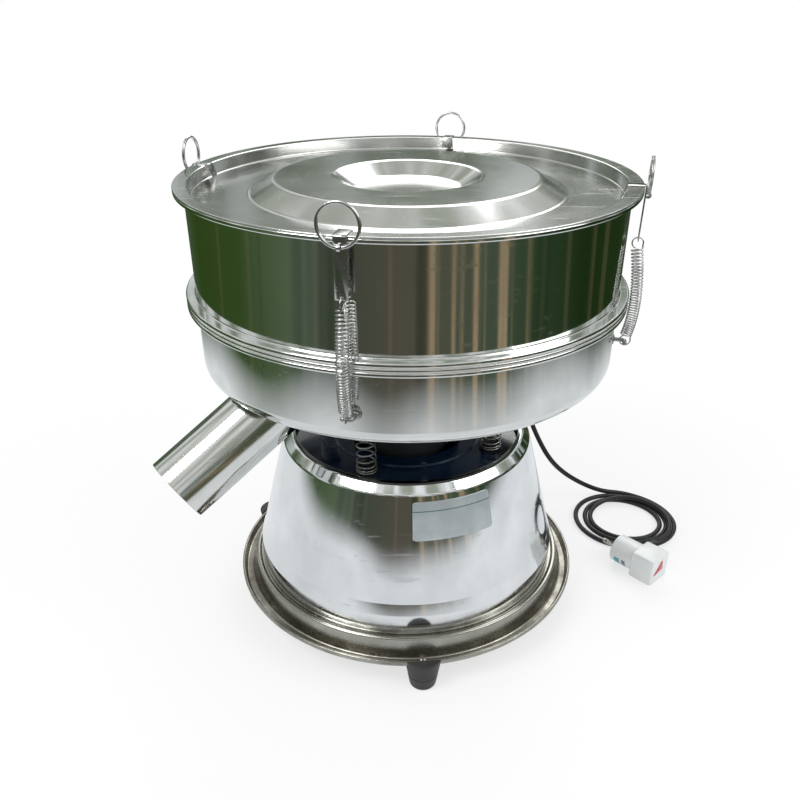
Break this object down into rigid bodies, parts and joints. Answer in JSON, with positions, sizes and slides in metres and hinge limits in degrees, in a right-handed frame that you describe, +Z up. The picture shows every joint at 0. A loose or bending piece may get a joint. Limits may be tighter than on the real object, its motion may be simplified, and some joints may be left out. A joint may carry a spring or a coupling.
{
  "type": "vibrating sieve",
  "caption": "Round steel vibrating sieve: clipped lid and barrel over a screen and a collecting pan with a side outlet, sprung on a bell-shaped motor base with rubber feet.",
  "frame": {"origin": "on the machine's vertical axis, at the level the rubber feet stand on", "axes": "+Z up; -Y towards the front; the outlet points between -X and -Y"},
  "size_m": [0.5797, 0.4292, 0.479],
  "materials": {
    "mirror_steel": "polished stainless steel",
    "satin_steel": "bright satin stainless steel",
    "worn_steel": "worn stainless steel with a brown tint",
    "zinc_wire": "zinc-plated wire and strip",
    "screw_steel": "zinc-plated screws",
    "navy_paint": "dark navy gloss paint",
    "bracket_steel": "plain steel",
    "mesh_steel": "woven stainless mesh",
    "seal_silicone": "translucent silicone",
    "black_rubber": "moulded black rubber",
    "lead_sheath": "black cable sheath",
    "black_nylon": "black nylon",
    "white_plastic": "glossy white plastic",
    "red_plastic": "red plastic",
    "plug_pin": "nickel-plated blades",
    "motor_paint": "dark grey enamel",
    "core_iron": "laminated core",
    "weight_iron": "cast weights",
    "bearing_steel": "ground bearing steel"
  },
  "bodies": {
    "base": {"base_tray": "worn_steel", "chassis_bell": "mirror_steel", "chassis_screws": "screw_steel", "rubber_foot_1": "black_rubber", "rubber_foot_2": "black_rubber", "rubber_foot_3": "black_rubber", "foot_screws": "screw_steel", "spring_plate": "navy_paint", "plate_brackets": "bracket_steel", "plate_screws": "screw_steel", "lower_spring_seats": "black_rubber", "suspension_spring_1": "zinc_wire", "suspension_spring_2": "zinc_wire", "suspension_spring_3": "zinc_wire", "suspension_spring_4": "zinc_wire", "cable_gland": "black_nylon", "gland_nut": "black_nylon", "supply_lead": "lead_sheath", "lead_coil": "lead_sheath", "lead_tail": "lead_sheath", "plug_body": "white_plastic", "plug_blades": "plug_pin", "plug_sleeve": "white_plastic", "plug_indicator": "red_plastic"},
    "pan": {"collecting_pan": "mirror_steel", "pan_base": "mirror_steel", "outlet_spout": "mirror_steel", "spring_hooks": "zinc_wire", "upper_spring_seats": "black_rubber", "motor_posts": "bracket_steel", "motor_screws": "screw_steel", "motor_upper_cap": "motor_paint", "motor_lower_cap": "motor_paint", "motor_housing": "motor_paint", "motor_stator": "core_iron", "upper_bearing": "bearing_steel", "lower_bearing": "bearing_steel"},
    "rotor": {"motor_shaft": "bracket_steel", "motor_rotor": "core_iron", "upper_weight": "weight_iron", "lower_weight": "weight_iron", "weight_screws": "screw_steel"},
    "screen": {"screen_frame": "satin_steel", "screen_mesh": "mesh_steel", "lower_seal": "seal_silicone", "upper_seal": "seal_silicone"},
    "barrel": {"sieve_barrel": "mirror_steel"},
    "lid": {"lid": "satin_steel", "clip_spring_1": "zinc_wire", "clip_spring_2": "zinc_wire", "clip_spring_3": "zinc_wire", "clip_spring_4": "zinc_wire"},
    "clip_1": {"clip_1": "zinc_wire"},
    "pull_ring_1": {"pull_ring_1": "zinc_wire"},
    "clip_2": {"clip_2": "zinc_wire"},
    "pull_ring_2": {"pull_ring_2": "zinc_wire"},
    "clip_3": {"clip_3": "zinc_wire"},
    "pull_ring_3": {"pull_ring_3": "zinc_wire"},
    "clip_4": {"clip_4": "zinc_wire"},
    "pull_ring_4": {"pull_ring_4": "zinc_wire"}
  },
  "joints": [
    {"name": "pan_bounce", "type": "slide", "parent": "base", "child": "pan", "axis": [0, 0, 1], "range_m": [-0.004, 0.004], "stiffness_N_per_m": 24000, "springref_m": 0.0068, "deforming": ["suspension_spring_1", "suspension_spring_2", "suspension_spring_3", "suspension_spring_4"]},
    {"name": "rotor_spin", "type": "hinge", "parent": "pan", "child": "rotor", "pos_m": [0, 0, 0.167], "axis": [0, 0, 1], "continuous": true},
    {"name": "screen_lift", "type": "slide", "parent": "pan", "child": "screen", "axis": [0, 0, 1], "range_m": [0, 0.12]},
    {"name": "barrel_lift", "type": "slide", "parent": "screen", "child": "barrel", "axis": [0, 0, 1], "range_m": [0, 0.12]},
    {"name": "lid_lift", "type": "slide", "parent": "barrel", "child": "lid", "axis": [0, 0, 1], "range_m": [0, 0.15]},
    {"name": "clip_1_pull", "type": "slide", "parent": "lid", "child": "clip_1", "axis": [0, 0, 1], "range_m": [0, 0.014], "stiffness_N_per_m": 900, "springref_m": -0.02, "deforming": ["clip_spring_1"]},
    {"name": "pull_ring_1_swing", "type": "hinge", "parent": "clip_1", "child": "pull_ring_1", "pos_m": [-0.04966, -0.20686, 0.4463], "axis": [0.9724, -0.2334, 0], "range_deg": [-12, 150]},
    {"name": "clip_2_pull", "type": "slide", "parent": "lid", "child": "clip_2", "axis": [0, 0, 1], "range_m": [0, 0.014], "stiffness_N_per_m": 900, "springref_m": -0.02, "deforming": ["clip_spring_2"]},
    {"name": "pull_ring_2_swing", "type": "hinge", "parent": "clip_2", "child": "pull_ring_2", "pos_m": [0.20686, -0.04966, 0.4463], "axis": [0.2334, 0.9724, 0], "range_deg": [-12, 150]},
    {"name": "clip_3_pull", "type": "slide", "parent": "lid", "child": "clip_3", "axis": [0, 0, 1], "range_m": [0, 0.014], "stiffness_N_per_m": 900, "springref_m": -0.02, "deforming": ["clip_spring_3"]},
    {"name": "pull_ring_3_swing", "type": "hinge", "parent": "clip_3", "child": "pull_ring_3", "pos_m": [0.04966, 0.20686, 0.4463], "axis": [-0.9724, 0.2334, 0], "range_deg": [-12, 150]},
    {"name": "clip_4_pull", "type": "slide", "parent": "lid", "child": "clip_4", "axis": [0, 0, 1], "range_m": [0, 0.014], "stiffness_N_per_m": 900, "springref_m": -0.02, "deforming": ["clip_spring_4"]},
    {"name": "pull_ring_4_swing", "type": "hinge", "parent": "clip_4", "child": "pull_ring_4", "pos_m": [-0.20686, 0.04966, 0.4463], "axis": [-0.2334, -0.9724, 0], "range_deg": [-12, 150]}
  ]
}
